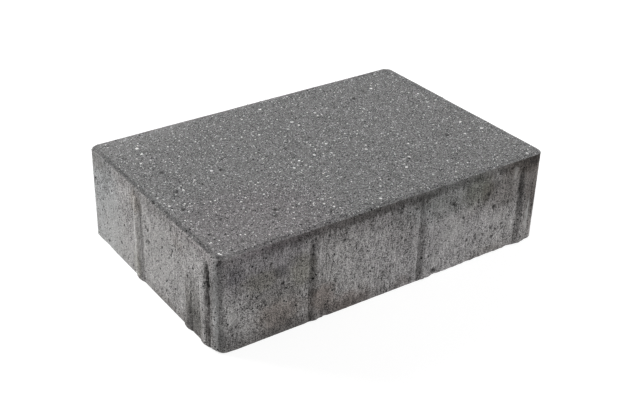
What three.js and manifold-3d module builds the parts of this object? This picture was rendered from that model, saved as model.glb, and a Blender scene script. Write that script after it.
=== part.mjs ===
// Concrete paving stone, 300 x 200 x 80 mm trade size, cast and pressed as one piece.
//
// Millimetres, +Z up. The origin is the middle of the underside, +X runs along the long side.
// The stone is a block with rounded upright corners and a fine bevel around its wearing face.
// Low rounded spacer ribs stand on all four sides and keep the joint between laid stones open.
// One side also carries a short leaning burr, where mortar was squeezed past the mould wall.

import * as THREE from "three";
import { mergeVertices } from "three/addons/utils/BufferGeometryUtils.js";
import Module from "manifold-3d";

// Block, without its ribs.
const BLOCK_LENGTH = 297;
const BLOCK_WIDTH = 198;
const BLOCK_HEIGHT = 79;
const CORNER_RADIUS = 7;
const BEVEL_WIDTH = 3;
const BEVEL_DEPTH = 2;

// Spacer ribs. Each side counts them from the corner that ends it, going round anticlockwise.
const RIB_WIDTH = 14;
const RIB_PROUD = 1.5;
const RIB_PITCH = 99;
const LONG_SIDE_RIB_INSET = 16.4;
const SHORT_SIDE_RIB_INSET = 17;
const RIB_TOP_BELOW_FACE = 7;
const RIB_RUN_OUT = 9;

// Burr on the left short side, leaning towards the front corner as it rises.
const BURR_WIDTH = 13;
const BURR_PROUD = 1.5;
const BURR_HEIGHT = 46;
const BURR_FOOT_FROM_CORNER = 41;
const BURR_LEAN = 5;
const BURR_TIP_WIDTH = 3;

// How finely round shapes are divided, and how deep a rib's root lies inside the block.
const CORNER_STEPS = 8;
const RIB_ARC_STEPS = 10;
const RUN_OUT_STEPS = 5;
const ROOT_DEPTH = 1.5;

const QUARTER_TURN = Math.PI / 2;
const SIDE_COUNT = 4;
const CORNER_SIGNS = [[1, 1], [-1, 1], [-1, -1], [1, -1]];

const stoneMaterial = new THREE.MeshStandardMaterial({ color: 0x8a8987, roughness: 0.92, metalness: 0 });

// A closed solid through a stack of outlines that all have the same number of points.
// Each outline runs anticlockwise seen from above, and lies higher than the one before it.
function loft(rings) {
  const pointCount = rings[0].points.length;
  const positions = [];
  rings.forEach(({ points, height }) => {
    points.forEach((point) => positions.push(point.x, point.y, height));
  });

  const indices = [];
  const cap = THREE.ShapeUtils.triangulateShape(rings[0].points, []);
  const topStart = (rings.length - 1) * pointCount;
  cap.forEach(([a, b, c]) => {
    indices.push(c, b, a);
    indices.push(topStart + a, topStart + b, topStart + c);
  });
  for (let level = 0; level < rings.length - 1; level += 1) {
    for (let step = 0; step < pointCount; step += 1) {
      const next = (step + 1) % pointCount;
      const below = level * pointCount + step;
      const belowNext = level * pointCount + next;
      indices.push(below, belowNext, belowNext + pointCount);
      indices.push(below, belowNext + pointCount, below + pointCount);
    }
  }

  const geometry = new THREE.BufferGeometry();
  geometry.setAttribute("position", new THREE.Float32BufferAttribute(positions, 3));
  geometry.setIndex(indices);
  return geometry;
}

// Outline of the block, drawn in by an even distance on all sides.
function blockOutline(inset) {
  const radius = Math.max(CORNER_RADIUS - inset, CORNER_RADIUS / CORNER_STEPS);
  const points = [];
  CORNER_SIGNS.forEach(([signX, signY], corner) => {
    const centreX = signX * (BLOCK_LENGTH / 2 - inset - radius);
    const centreY = signY * (BLOCK_WIDTH / 2 - inset - radius);
    for (let step = 0; step <= CORNER_STEPS; step += 1) {
      const angle = QUARTER_TURN * (corner + step / CORNER_STEPS);
      points.push(new THREE.Vector2(centreX + radius * Math.cos(angle), centreY + radius * Math.sin(angle)));
    }
  });
  return points;
}

function blockGeometry() {
  return loft([
    { points: blockOutline(0), height: 0 },
    { points: blockOutline(0), height: BLOCK_HEIGHT - BEVEL_DEPTH },
    { points: blockOutline(BEVEL_WIDTH), height: BLOCK_HEIGHT },
  ]);
}

// Section of a rib that stands on the line x = face and is centred at y = along: an arc that is
// `width` across on the face and `proud` high, carried on to its root and closed by a chord.
// `sunk` moves the whole section into the block, so that the rib runs out into the face.
function ribSection({ face, along, width, proud, sunk }) {
  const radius = (width * width / 4 + proud * proud) / (2 * proud);
  const halfAngle = Math.acos(1 - (proud + ROOT_DEPTH) / radius);
  const points = [];
  for (let step = 0; step <= RIB_ARC_STEPS; step += 1) {
    const angle = halfAngle * (2 * step / RIB_ARC_STEPS - 1);
    const out = radius * Math.cos(angle) - radius + proud - sunk;
    points.push(new THREE.Vector2(face + out, along + radius * Math.sin(angle)));
  }
  return points;
}

// An upright spacer rib: full height from the underside, then a rounded run-out at its top.
function ribGeometry(face, along) {
  const top = BLOCK_HEIGHT - RIB_TOP_BELOW_FACE;
  const shape = { face, along, width: RIB_WIDTH, proud: RIB_PROUD };
  const rings = [{ points: ribSection({ ...shape, sunk: 0 }), height: 0 }];
  for (let step = 0; step <= RUN_OUT_STEPS; step += 1) {
    const share = step / RUN_OUT_STEPS;
    const sunk = (RIB_PROUD + ROOT_DEPTH / 2) * (1 - Math.sqrt(1 - share * share));
    rings.push({ points: ribSection({ ...shape, sunk }), height: top - RIB_RUN_OUT * (1 - share) });
  }
  return loft(rings);
}

// The burr narrows and sinks into the face as it rises.
function burrGeometry(face, foot) {
  const rings = [];
  for (let step = 0; step <= RUN_OUT_STEPS; step += 1) {
    const share = step / RUN_OUT_STEPS;
    const points = ribSection({
      face,
      along: foot + BURR_LEAN * share,
      width: THREE.MathUtils.lerp(BURR_WIDTH, BURR_TIP_WIDTH, share),
      proud: BURR_PROUD,
      sunk: (BURR_PROUD + ROOT_DEPTH / 2) * share * share,
    });
    rings.push({ points, height: BURR_HEIGHT * share });
  }
  return loft(rings);
}

// Centres of one side's ribs, measured from the middle of the side.
function ribPlaces(span, inset) {
  const places = [];
  for (let along = span / 2 - inset; along >= inset - span / 2; along -= RIB_PITCH) {
    places.push(along);
  }
  return places;
}

// The four sides, each turned from the one that faces +X. `face` is how far the side lies from
// the middle of the block, and `span` is its length.
function sides() {
  const endFace = { face: BLOCK_LENGTH / 2, span: BLOCK_WIDTH, inset: SHORT_SIDE_RIB_INSET };
  const longFace = { face: BLOCK_WIDTH / 2, span: BLOCK_LENGTH, inset: LONG_SIDE_RIB_INSET };
  return Array.from({ length: SIDE_COUNT }, (_, index) => {
    const side = index % 2 === 0 ? endFace : longFace;
    return { ...side, turn: QUARTER_TURN * index };
  });
}

const wasm = await Module();
wasm.setup();

function toSolid(geometry) {
  const plain = geometry.clone();
  plain.deleteAttribute("normal");
  plain.deleteAttribute("uv");
  const merged = mergeVertices(plain);
  return new wasm.Manifold(new wasm.Mesh({
    numProp: 3,
    vertProperties: new Float32Array(merged.attributes.position.array),
    triVerts: new Uint32Array(merged.index.array),
  }));
}

function toGeometry(solid) {
  const mesh = solid.getMesh();
  const geometry = new THREE.BufferGeometry();
  geometry.setAttribute("position", new THREE.BufferAttribute(mesh.vertProperties, 3));
  geometry.setIndex(new THREE.BufferAttribute(mesh.triVerts, 1));
  geometry.computeVertexNormals();
  return geometry;
}

function stoneGeometry() {
  let stone = toSolid(blockGeometry());
  sides().forEach(({ face, span, inset, turn }, index) => {
    const additions = ribPlaces(span, inset).map((along) => ribGeometry(face, along));
    const isLeftSide = index === SIDE_COUNT / 2;
    if (isLeftSide) {
      additions.push(burrGeometry(face, span / 2 - BURR_FOOT_FROM_CORNER));
    }
    additions.forEach((geometry) => {
      stone = stone.add(toSolid(geometry.rotateZ(turn)));
    });
  });
  return toGeometry(stone);
}

const pavingStone = new THREE.Mesh(stoneGeometry(), stoneMaterial);
pavingStone.name = "paving_stone";

const part = new THREE.Group();
part.add(pavingStone);

export default part;
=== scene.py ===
# %% [markdown]
# # A pressed concrete paving stone
#
# The stone is one block of dry concrete, pressed and shaken in a steel mould for a few seconds
# and pushed out at once. A thin layer of dark facing mortar lies on top and gives the wearing
# face its colour, its sand grain and its quartz specks. The sides scrape along the mould wall
# as the stone leaves it, so they carry upright streaks, open pores and smears of cement.
#
# The exact solid, with its spacer ribs, its bevel and its burr, is loaded as a fixed frame.
# Here it gets its skin: a fine mesh wrapped on that solid, a relief that Geometry Nodes cut
# into it, sand and crushed quartz scattered on top, and a procedural concrete.

# %% Load the solid and the tools
import math

import bpy
import numpy as np
from mathutils import Matrix, Vector
from mathutils.bvhtree import BVHTree
from mathutils.geometry import delaunay_2d_cdt


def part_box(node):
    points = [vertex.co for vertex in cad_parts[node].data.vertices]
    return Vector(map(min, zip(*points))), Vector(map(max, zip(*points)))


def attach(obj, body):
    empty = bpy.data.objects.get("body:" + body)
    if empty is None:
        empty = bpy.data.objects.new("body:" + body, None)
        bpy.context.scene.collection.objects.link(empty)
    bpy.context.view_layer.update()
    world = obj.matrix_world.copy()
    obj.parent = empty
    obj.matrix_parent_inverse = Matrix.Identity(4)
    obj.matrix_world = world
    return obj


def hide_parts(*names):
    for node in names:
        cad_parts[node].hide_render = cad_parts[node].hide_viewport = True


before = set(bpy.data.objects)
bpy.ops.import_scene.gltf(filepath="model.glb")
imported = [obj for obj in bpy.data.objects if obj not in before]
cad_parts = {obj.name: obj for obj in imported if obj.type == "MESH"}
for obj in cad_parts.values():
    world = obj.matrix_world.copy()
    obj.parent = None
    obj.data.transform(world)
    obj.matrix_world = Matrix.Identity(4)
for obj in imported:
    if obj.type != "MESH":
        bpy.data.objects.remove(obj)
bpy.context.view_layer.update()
MM = 0.001
SEED = 11
stone_low, stone_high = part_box("paving_stone")
print("solid, mm:", [round((high - low) / MM, 1) for low, high in zip(stone_low, stone_high)])

# %% [markdown]
# ## Camera
#
# The stone is seen from a little under arm's length and from above, through a short telephoto
# lens, so its upright edges lean together only slightly. The lens is given by the angle it
# covers: a length in pixels over an image 624 pixels wide. The stone lies a little to the
# right of the lens axis, and a small sideways shift of the lens allows for that.

# %% Camera
IMAGE_WIDTH = 624
SENSOR_WIDTH = 36.0
LENS_IN_PIXELS = 1121.0
LENS_AXIS_PIXEL = 259.05
CAMERA_PLACE = Vector((-0.4558, -0.6361, 0.4768))
CAMERA_TURN = math.radians(32.39)
CAMERA_DIP = math.radians(30.075)
CAMERA_ROLL = math.radians(0.09)
NEAREST_SEEN = 0.01

lens = bpy.data.cameras.new("camera")
lens.sensor_width = SENSOR_WIDTH
lens.lens = LENS_IN_PIXELS * SENSOR_WIDTH / IMAGE_WIDTH
lens.shift_x = (IMAGE_WIDTH / 2 - LENS_AXIS_PIXEL) / IMAGE_WIDTH
lens.clip_start = NEAREST_SEEN
camera = bpy.data.objects.new("camera", lens)
aim = Matrix.Rotation(-CAMERA_TURN, 4, "Z") @ Matrix.Rotation(math.pi / 2 - CAMERA_DIP, 4, "X")
camera.matrix_world = Matrix.Translation(CAMERA_PLACE) @ aim @ Matrix.Rotation(CAMERA_ROLL, 4, "Z")
bpy.context.scene.collection.objects.link(camera)
bpy.context.scene.camera = camera
print("lens, mm:", round(lens.lens, 1))

# %% [markdown]
# ## Two small helpers
#
# Colours are written as sRGB hex values, the way a paint chart gives them, and turned to the
# linear numbers that the renderer works with. The second helper adds one node to a tree: its
# settings are keyword arguments, and its inputs a dictionary of numbers, colours, sockets or
# whole nodes. A whole node stands for its first output that is in use.

# %% Helpers
def linear(hex_colour):
    """An sRGB hex colour as linear red, green, blue and alpha, by the standard's own numbers."""
    channels = [int(hex_colour[i:i + 2], 16) / 255 for i in (1, 3, 5)]
    return tuple(c / 12.92 if c <= 0.04045 else ((c + 0.055) / 1.055) ** 2.4 for c in channels) + (1.0,)


def add(tree, kind, inputs=None, **settings):
    """Adds a node, and sets or links its inputs, which are named or numbered."""
    made = tree.nodes.new(kind)
    for name, value in settings.items():
        setattr(made, name, value)
    for name, value in (inputs or {}).items():
        if isinstance(value, bpy.types.Node):
            value = next(output for output in value.outputs if output.enabled)
        if isinstance(value, bpy.types.NodeSocket):
            tree.links.new(value, made.inputs[name])
        else:
            made.inputs[name].default_value = value
    return made


# %% [markdown]
# ## The skin: a fine mesh wrapped on the solid
#
# The solid says where the block, its ribs and its burr are, but its faces are far too large to
# be pitted and chipped. A remesh would soften its edges, so the skin is woven instead: columns
# run round the block's outline and rows run in from under it, up its sides and over its bevel.
# Each side point is found by a ray shot inwards at the solid, so ribs and burr come along.
#
# A column every 1.1 mm and a row every 1.4 mm is as fine as the coarse sand in the concrete,
# and still leaves the piece below 200,000 triangles.

# %% Outline of the block
COLUMN_STEP = 1.1 * MM
RIB_PROUD = 1.5 * MM
CORNER_RADIUS = 7 * MM
half_length = stone_high.x - RIB_PROUD
half_width = stone_high.y - RIB_PROUD


def rounded_outline(step):
    """Points round the block, anticlockwise from its right side, and the way out at each."""
    places, ways = [], []
    for corner, (side_x, side_y) in enumerate([(1, 1), (-1, 1), (-1, -1), (1, -1)]):
        centre = np.array([side_x * (half_length - CORNER_RADIUS), side_y * (half_width - CORNER_RADIUS)])
        arc_steps = round(CORNER_RADIUS * math.pi / 2 / step)
        for angle in (corner + np.arange(arc_steps) / arc_steps) * math.pi / 2:
            ways.append(np.array([math.cos(angle), math.sin(angle)]))
            places.append(centre + ways[-1] * CORNER_RADIUS)
        way = np.array([side_x if corner % 2 else 0, 0 if corner % 2 else side_y])
        along = np.array([-way[1], way[0]])
        run = 2 * ((half_width if corner % 2 else half_length) - CORNER_RADIUS)
        for distance in np.arange(round(run / step)) / round(run / step) * run:
            ways.append(way)
            places.append(centre + way * CORNER_RADIUS + along * distance)
    return np.array(places), np.array(ways)


outline, outward = rounded_outline(COLUMN_STEP)
columns = len(outline)
print("columns:", columns)

# %% Rows, from under the stone to its wearing face
ROW_STEP = 1.4
UNDER_INSETS = [4.2, 3.5, 2.8, 2.1, 1.4, 0.7]
FOOT_HEIGHTS = [0.0, 0.7, 1.4, 2.1, 2.8, 3.5]
BEVEL_INSET_AND_DROP = [
    (0.0, 3.0), (0.05, 2.2), (0.4, 1.75), (0.95, 1.37), (1.35, 1.1), (2.1, 0.6), (2.8, 0.13), (3.3, 0.0),
    (3.9, 0.0),
]

face_height = stone_high.z / MM
first_side_row = FOOT_HEIGHTS[-1] + ROW_STEP
last_side_row = face_height - BEVEL_INSET_AND_DROP[0][1]
rows = [(inset, 0.0) for inset in UNDER_INSETS]
rows += [(0.0, height) for height in FOOT_HEIGHTS]
rows += [(0.0, height) for height in np.arange(first_side_row, last_side_row - ROW_STEP / 2, ROW_STEP)]
rows += [(inset, face_height - drop) for inset, drop in BEVEL_INSET_AND_DROP]
rows = np.array(rows) * MM
print("rows:", len(rows))

# %% Rays at the solid
RAY_START = 6 * MM
EDGE_MARGIN = 0.03 * MM

solid_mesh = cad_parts["paving_stone"].data
solid = BVHTree.FromPolygons([v.co for v in solid_mesh.vertices], [p.vertices for p in solid_mesh.polygons])
bevel_foot = stone_high.z - BEVEL_INSET_AND_DROP[0][1] * MM


def proud_of_side(place, way, height):
    """How far the solid stands out past the plain side, where its ribs and burr are."""
    start = (*(place + way * RAY_START), min(max(height, EDGE_MARGIN), bevel_foot))
    distance = solid.ray_cast(start, (-way[0], -way[1], 0.0))[3]
    return 0.0 if distance is None else max(RAY_START - distance, 0.0)


proud = np.array([[proud_of_side(p, w, height) for p, w in zip(outline, outward)] for height in rows[:, 1]])
print("proudest point, mm:", round(proud.max() / MM, 2))

# %% [markdown]
# The bevel is a little wider on the left end and narrower on the long front than the mould was
# meant to press it, and the far right corner was knocked a little, most of all at its top.

# %% The strip round the stone
FRONT = np.array([0.0, -1.0])
LEFT = np.array([-1.0, 0.0])
FRONT_BEVEL_SHARE = 0.84
LEFT_BEVEL_SHARE = 1.12
FAR_CORNER_CUT = 1.3 * MM
CUT_HEIGHTS, CUT_SHARES = [50, 75], [0.0, 1.0]
CUT_INSETS, CUT_KEPT = [2.8, 3.9], [1.0, 0.54]


def towards(way, gain=1.0, least=0.0):
    """How far each column faces a way, from 0 to 1: all of it where gain and least allow."""
    return np.clip(gain * (outward @ way) - least, 0, 1)


bevel_share = (FRONT_BEVEL_SHARE - 1) * towards(FRONT) + (LEFT_BEVEL_SHARE - 1) * towards(LEFT) + 1
far_corner = np.clip(2 * outward[:, 0] * outward[:, 1], 0, 1) * (outward[:, 0] > 0) * FAR_CORNER_CUT
strip = []
for (inset, height), ridge in zip(rows, proud):
    out = -inset * bevel_share if height > bevel_foot else ridge - inset
    knocked = np.interp(height / MM, CUT_HEIGHTS, CUT_SHARES) * np.interp(inset / MM, CUT_INSETS, CUT_KEPT)
    plan = outline + outward * (out - far_corner * knocked)[:, None]
    strip.append(np.column_stack([plan, np.full(columns, height)]))
strip = np.array(strip)
print("strip points:", strip.shape[0] * strip.shape[1])

# %% [markdown]
# The strip is closed by two caps. A triangulation fills each rim with points on a jittered
# honeycomb, fine on the wearing face and coarse on the hidden bed face.

# %% Points and triangles of the caps
TOP_STEP, TOP_CLEAR_STEPS = 1.6 * MM, 0.6
BED_STEP, BED_CLEAR_STEPS = 7.0 * MM, 0.5
JITTER = 0.22
INSIDE_ONLY = 1
MERGED_WITHIN = 1e-7
random = np.random.default_rng(SEED)


def inside_distance(points):
    """How far points lie inside the block's outline."""
    past = np.abs(points) - (half_length - CORNER_RADIUS, half_width - CORNER_RADIUS)
    beyond = np.linalg.norm(np.maximum(past, 0), axis=1)
    return CORNER_RADIUS - beyond - np.minimum(past.max(axis=1), 0)


def honeycomb(step, clearance):
    """Jittered points that fill the block's outline, and stay clear of its rim."""
    across = np.arange(-half_length, half_length, step)
    down = np.arange(-half_width, half_width, step * math.sqrt(3) / 2)
    grid_x, grid_y = np.meshgrid(across, down)
    grid_x[1::2] += step / 2
    points = np.column_stack([grid_x.ravel(), grid_y.ravel()])
    points += random.uniform(-JITTER, JITTER, points.shape) * step
    return points[inside_distance(points) > clearance]


def cap(rim, inner):
    """Triangles that fill the rim, as numbers of its points and then of the inner ones."""
    places = [Vector(p) for p in np.vstack([rim, inner])]
    made = delaunay_2d_cdt(places, [], [list(range(len(rim)))], INSIDE_ONLY, MERGED_WITHIN)
    source = [numbers[0] for numbers in made[3]]
    return [[source[i] for i in face] for face in made[2]]


top_inner = honeycomb(TOP_STEP, rows[-1, 0] + TOP_STEP * TOP_CLEAR_STEPS)
bed_inner = honeycomb(BED_STEP, rows[0, 0] + BED_STEP * BED_CLEAR_STEPS)
top_faces = cap(strip[-1, :, :2], top_inner)
bed_faces = cap(strip[0, :, :2], bed_inner)
print("cap triangles:", len(top_faces), len(bed_faces))

# %% One closed mesh
top_start = len(rows) * columns
bed_start = top_start + len(top_inner)
top_points = np.column_stack([top_inner, np.full(len(top_inner), stone_high.z)])
bed_points = np.column_stack([bed_inner, np.zeros(len(bed_inner))])
points = np.vstack([strip.reshape(-1, 3), top_points, bed_points])

faces = []
for row in range(len(rows) - 1):
    for column in range(columns):
        after = (column + 1) % columns
        low, high = row * columns, (row + 1) * columns
        faces.append((low + column, low + after, high + after, high + column))
last_row = top_start - columns
for face in top_faces:
    faces.append([last_row + i if i < columns else top_start + i - columns for i in face])
for face in bed_faces:
    faces.append([i if i < columns else bed_start + i - columns for i in reversed(face)])

skin = bpy.data.meshes.new("paving_stone_skin")
skin.from_pydata(points.tolist(), [], faces)
print("triangles:", sum(len(face) - 2 for face in faces))

# %% [markdown]
# ## What the mesh carries
#
# Some marks have a place of their own, so noise alone can't make them. The mesh carries them
# as numbers, one for each point, which the relief and the concrete read later by name. A number
# that only the strip needs is worked out in a grid of rows and columns.

# %% Carry a number, and the insets
def carry(name, numbers, on_caps=0.0):
    """Stores one number for each point. The caps are filled up where only the strip is given."""
    filled = np.full(len(points), on_caps)
    filled[:numbers.size] = numbers.ravel()
    skin.attributes.new(name, "FLOAT", "POINT").data.foreach_set("value", filled)
    print(name, "from", round(filled.min(), 3), "to", round(filled.max(), 3))


inset_mm = rows[:, :1] / MM
height_mm = rows[:, 1:] / MM
on_bevel = rows[:, 1:] > bevel_foot
strip_inset = np.repeat(rows[:, 0], columns)
carry("inset", np.concatenate([strip_inset, inside_distance(top_inner), inside_distance(bed_inner)]))
carried_outward = np.zeros((len(points), 3))
carried_outward[:top_start, :2] = np.tile(outward, (len(rows), 1))
skin.attributes.new("outward", "FLOAT_VECTOR", "POINT").data.foreach_set("vector", carried_outward.ravel())

# %% [markdown]
# Dry concrete does not always reach the bottom edge of the mould, so a pressed stone has blunt
# and broken places along its foot. Each gap is one place on the edge, how far it reaches along
# it, and how much of the arris is missing there.

# %% Where the mould was not quite full
FOOT_GAPS = [
    # x, y, reach along the edge, missing arris (mm)
    (104, -99, 62, 2.4),
    (44, -99, 5, 1.6),
    (-66, -100, 9, 2.6),
    (33, -100, 7, 2.0),
    (132, -100, 9, 2.6),
    (142, -99, 11, 4.4),
    (-148, -93, 12, 3.4),
    (-151, -84, 6, 2.2),
    (-150, 74, 9, 1.2),
    (-60, 99, 40, 2.4),
    (148, 20, 30, 1.2),
]
PLAIN_ARRIS = 0.25
GAP_REACH = 1.25

foot_gap = np.full(len(points), PLAIN_ARRIS)
for x, y, reach, missing in FOOT_GAPS:
    away = np.linalg.norm(points[:, :2] / MM - (x, y), axis=1) / reach
    foot_gap = np.maximum(foot_gap, missing * np.clip(GAP_REACH - away, 0, 1))
carry("foot_gap", foot_gap * MM)

# %% [markdown]
# A grain is pulled out here and there as the stone slides up the wall, and edges chip in the
# stack. Each hollow is a shallow bowl.

# %% Hollows
HOLLOWS = [
    # x, y, z, radius, depth (mm): places where a grain was pulled out or an edge broke
    (-148, 4.0, 51.5, 1.5, 0.8),
    (-148, 1.0, 50.5, 1.5, 0.9),
    (-148, 0.5, 41.0, 1.7, 1.0),
    (-148, 4.0, 39.0, 1.2, 0.7),
    (-148, 5.5, 30.0, 1.2, 0.6),
    (-148, -20.5, 47.0, 1.3, 0.7),
    (-148, -32.0, 44.5, 1.3, 0.7),
    (-148, -58.0, 43.5, 1.5, 0.8),
    (-148, -25.0, 12.5, 1.6, 0.7),
    (-148, 48.0, 15.0, 1.4, 0.7),
    (-148, 78.0, 33.0, 1.3, 0.6),
    (-148, 72.0, 4.5, 1.6, 0.9),
    (-149, -87.0, 55.0, 1.4, 1.2),
    (-149, -88.5, 52.5, 1.7, 1.4),
    (-145.4, -98.2, 75.6, 1.4, 1.4),
    (-146.6, -97.3, 73.4, 1.2, 1.2),
    (-147, 97.5, 77.5, 2.4, 1.4),
    (-135, -99.0, 40.0, 1.3, 0.7),
    (-134, -99.0, 19.0, 1.2, 0.6),
    (-96, -99.0, 41.5, 1.6, 0.9),
    (-111, -99.0, 32.0, 1.2, 0.6),
    (-113, -99.0, 29.0, 1.2, 0.7),
    (-81, -99.0, 29.0, 1.3, 0.7),
    (-71, -100.0, 64.5, 1.5, 0.9),
    (-71, -100.0, 57.0, 1.4, 0.8),
    (-43, -99.0, 59.5, 1.7, 0.8),
    (7, -99.0, 66.5, 1.6, 0.8),
    (18, -99.0, 49.5, 1.4, 0.8),
    (13, -99.0, 41.0, 1.3, 0.6),
    (57, -99.0, 58.0, 1.6, 0.9),
    (59, -99.0, 56.5, 1.4, 0.9),
    (69, -99.0, 43.0, 1.3, 0.7),
    (75, -99.0, 20.5, 1.4, 0.9),
    (83, -99.0, 22.0, 1.4, 0.8),
    (84, -99.0, 19.5, 1.3, 0.7),
    (100, -99.0, 43.0, 1.9, 0.8),
    (114.5, -99.0, 43.0, 1.4, 0.7),
    (99, -99.0, 24.5, 1.6, 0.7),
    (110, -99.0, 24.5, 1.5, 0.7),
    (101, -99.0, 15.5, 1.5, 0.7),
    (93, -99.0, 56.0, 2.0, 0.6),
    (142, -99.0, 31.5, 1.6, 0.9),
    (43, -99.0, 3.4, 2.4, 1.4),
    (102, -37, 79, 2.2, 1.3),
    (80.5, 58, 79, 2.0, 1.0),
    (-80.8, 8, 79, 1.8, 1.1),
    (-121, 27.7, 79, 1.8, 1.3),
    (-125.8, -4, 79, 1.8, 1.1),
    (-134, -29.4, 79, 1.8, 1.1),
    (-46, -86.6, 79, 2.0, 1.1),
    (-79, -63.5, 79, 2.4, 0.9),
    (-84.3, -70.7, 79, 2.0, 0.7),
    (-119, -55.2, 79, 1.6, 1.0),
    (-20.2, -91.1, 79, 1.6, 0.9),
]
BOWL_RIM = 1.15

hollow = np.zeros(len(points))
hollow_depth = np.zeros(len(points))
for x, y, z, radius, depth in HOLLOWS:
    away = np.linalg.norm(points / MM - (x, y, z), axis=1) / radius
    bowl = np.clip(BOWL_RIM - away ** 2, 0, 1)
    hollow = np.maximum(hollow, bowl)
    hollow_depth = np.maximum(hollow_depth, bowl * depth)
carry("hollow", hollow)
carry("hollow_depth", hollow_depth)

# %% [markdown]
# The dark facing layer shows on a side as a band under the bevel: all of it in the middle of
# the long front, and little where cement from below was smeared over it. It starts a little
# higher on the left end, whose bevel is painted darker from its middle up, as shade.

# %% How the facing shows
FRONT_SHOW_AT = [-148, -140, -112, -102, -62, 25, 45, 118, 130, 149]
FRONT_SHOW = [0.2, 0.35, 0.35, 0.8, 1.0, 1.0, 0.9, 0.9, 1.0, 1.0]
LEFT_SHOW = 0.33
OTHER_SHOW = 0.8
FACING_FOOT, LEFT_FACING_FOOT = 77.05, 77.5
LEFT_BEVEL_SHADE_INSETS = [0.4, 0.95, 1.35, 2.8, 3.3, 3.9]
LEFT_BEVEL_SHADE = [0.0, 0.7, 1.0, 1.0, 0.9, 0.0]

faces_front = towards(FRONT, gain=1.5)
faces_left = towards(LEFT, gain=1.5, least=0.5) * (1 - faces_front)
front_show = np.interp(strip[:, :, 0] / MM, FRONT_SHOW_AT, FRONT_SHOW)
show = front_show * faces_front + LEFT_SHOW * faces_left + OTHER_SHOW * (1 - faces_front - faces_left)
carry("facing_show", show, on_caps=OTHER_SHOW)

facing_foot = FACING_FOOT + (LEFT_FACING_FOOT - FACING_FOOT) * faces_left
carry("facing_foot", np.tile(facing_foot, len(rows)), on_caps=FACING_FOOT)

# Painted shade on the left end's bevel, from its middle up.
left_bevel_shade = on_bevel * np.interp(inset_mm, LEFT_BEVEL_SHADE_INSETS, LEFT_BEVEL_SHADE)
carry("left_bevel_shade", left_bevel_shade * towards(LEFT, gain=2, least=0.6))

# %% [markdown]
# The ribs' flanks differ. The flank that leans to the near left corner tears as the mould lifts
# off, and the relief roughens it; it also faces away from both lamps, and its darkness is painted
# shade. On the left end the rib by the corner has the most of both, and the others hardly any.
# The flank that leans the other way faces the side lamp on the long front, and there it is
# painted a little darker, as shade that keeps it dim.

# %% Torn flanks with painted shade, and lit flanks painted dimmer
HALF_TURNED, FULLY_TURNED = 0.5, 0.9
GENTLEST, STEEPEST = 0.07, 0.20
LEFT_TORN_AND_SHADED_AT, LEFT_TORN_AND_SHADED = [-99, -80, -66, -50, 99], [1.0, 0.9, 0.5, 0.2, 0.0]
FRONT_TORN_AND_SHADED_AT, FRONT_TORN_AND_SHADED = [-40, 10, 60, 100], [1.0, 0.7, 0.7, 1.0]
LEFT_HIGHLIGHT_AT, LEFT_HIGHLIGHT = [-99, -30, 0, 99], [0.0, 0.0, 0.22, 0.22]

outline_x, outline_y = outline.T / MM
on_left = outward @ LEFT > HALF_TURNED
left_torn_and_shaded = np.interp(outline_y, LEFT_TORN_AND_SHADED_AT, LEFT_TORN_AND_SHADED)
torn_and_shaded_share = np.where(on_left, left_torn_and_shaded, np.interp(outline_x, FRONT_TORN_AND_SHADED_AT, FRONT_TORN_AND_SHADED))
slope = (np.roll(proud, -1, axis=1) - np.roll(proud, 1, axis=1)) / (2 * COLUMN_STEP)
lean = slope * (outward[:, 0] - outward[:, 1])
near_flank, other_flank = [np.clip((way * lean - GENTLEST) / (STEEPEST - GENTLEST), 0, 1) for way in (1, -1)]
# Painted shade on the flank turned from both lamps; the relief also roughens it there.
carry("torn_and_shaded", torn_and_shaded_share * near_flank)
# Painted shade on the front ribs' flanks that face the side lamp.
carry("pressed", other_flank * towards(FRONT))

# %% [markdown]
# Some arrises and flanks are painted pale, as highlights. The lower edge of the left end's bevel
# is a thin bright line where a small burr catches the light, plainest near the near left corner;
# the long front's bevel is a little paler along the middle of its slope; and on the far half of
# the left end the rib flanks that face the main lamp are painted paler still. The near left
# corner is pale partly from a skin of cement and partly from painted light on its rounding,
# which the lamps barely reach; it ends sharply where the front begins.

# %% Painted highlights on arrises and flanks, and the near corner's pale skin
LINE_AT, LINE_SHARE = [-99, -60, -20, 0], [0.24, 0.10, 0.04, 0.0]
LINE_LOW, LINE_HIGH = 76.3, 77.4
FRONT_BEVEL_HIGHLIGHT = 0.07
BEVEL_HIGHLIGHT_INSETS, BEVEL_HIGHLIGHT_ROWS = [0.05, 0.4, 0.95, 1.35, 2.1], [0.0, 0.6, 1.0, 0.6, 0.0]
CORNER_ANGLES, CORNER_PALE = [0, 8, 20, 38, 48, 60, 85], [0.0, 0.3, 0.85, 1.0, 0.25, 0.12, 0.0]
CORNER_HEIGHTS = [0, 8, 14, 25, 35, 45, 55, 65, 77]
CORNER_SHARES = [0.4, 0.6, 0.85, 1.0, 1.0, 0.75, 0.45, 0.45, 0.55]
CORNER_REACH_IN = 1.0

line = np.interp(outline_y, LINE_AT, LINE_SHARE) * (outward @ LEFT > FULLY_TURNED)
on_line = (height_mm > LINE_LOW) & (height_mm < LINE_HIGH)
front_bevel = on_bevel * FRONT_BEVEL_HIGHLIGHT * np.interp(inset_mm, BEVEL_HIGHLIGHT_INSETS, BEVEL_HIGHLIGHT_ROWS)
angle = np.degrees(np.arctan2(-outward[:, 1], -outward[:, 0]))
corner_pale = np.interp(angle, CORNER_ANGLES, CORNER_PALE) * (angle > 0) * (angle < 90)
corner_rows = np.interp(height_mm, CORNER_HEIGHTS, CORNER_SHARES) * (~on_bevel | (inset_mm < CORNER_REACH_IN))
lit_flank_highlight = np.interp(outline_y, LEFT_HIGHLIGHT_AT, LEFT_HIGHLIGHT) * on_left
front_bevel_highlight = front_bevel * towards(FRONT, gain=2, least=0.6)
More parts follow.
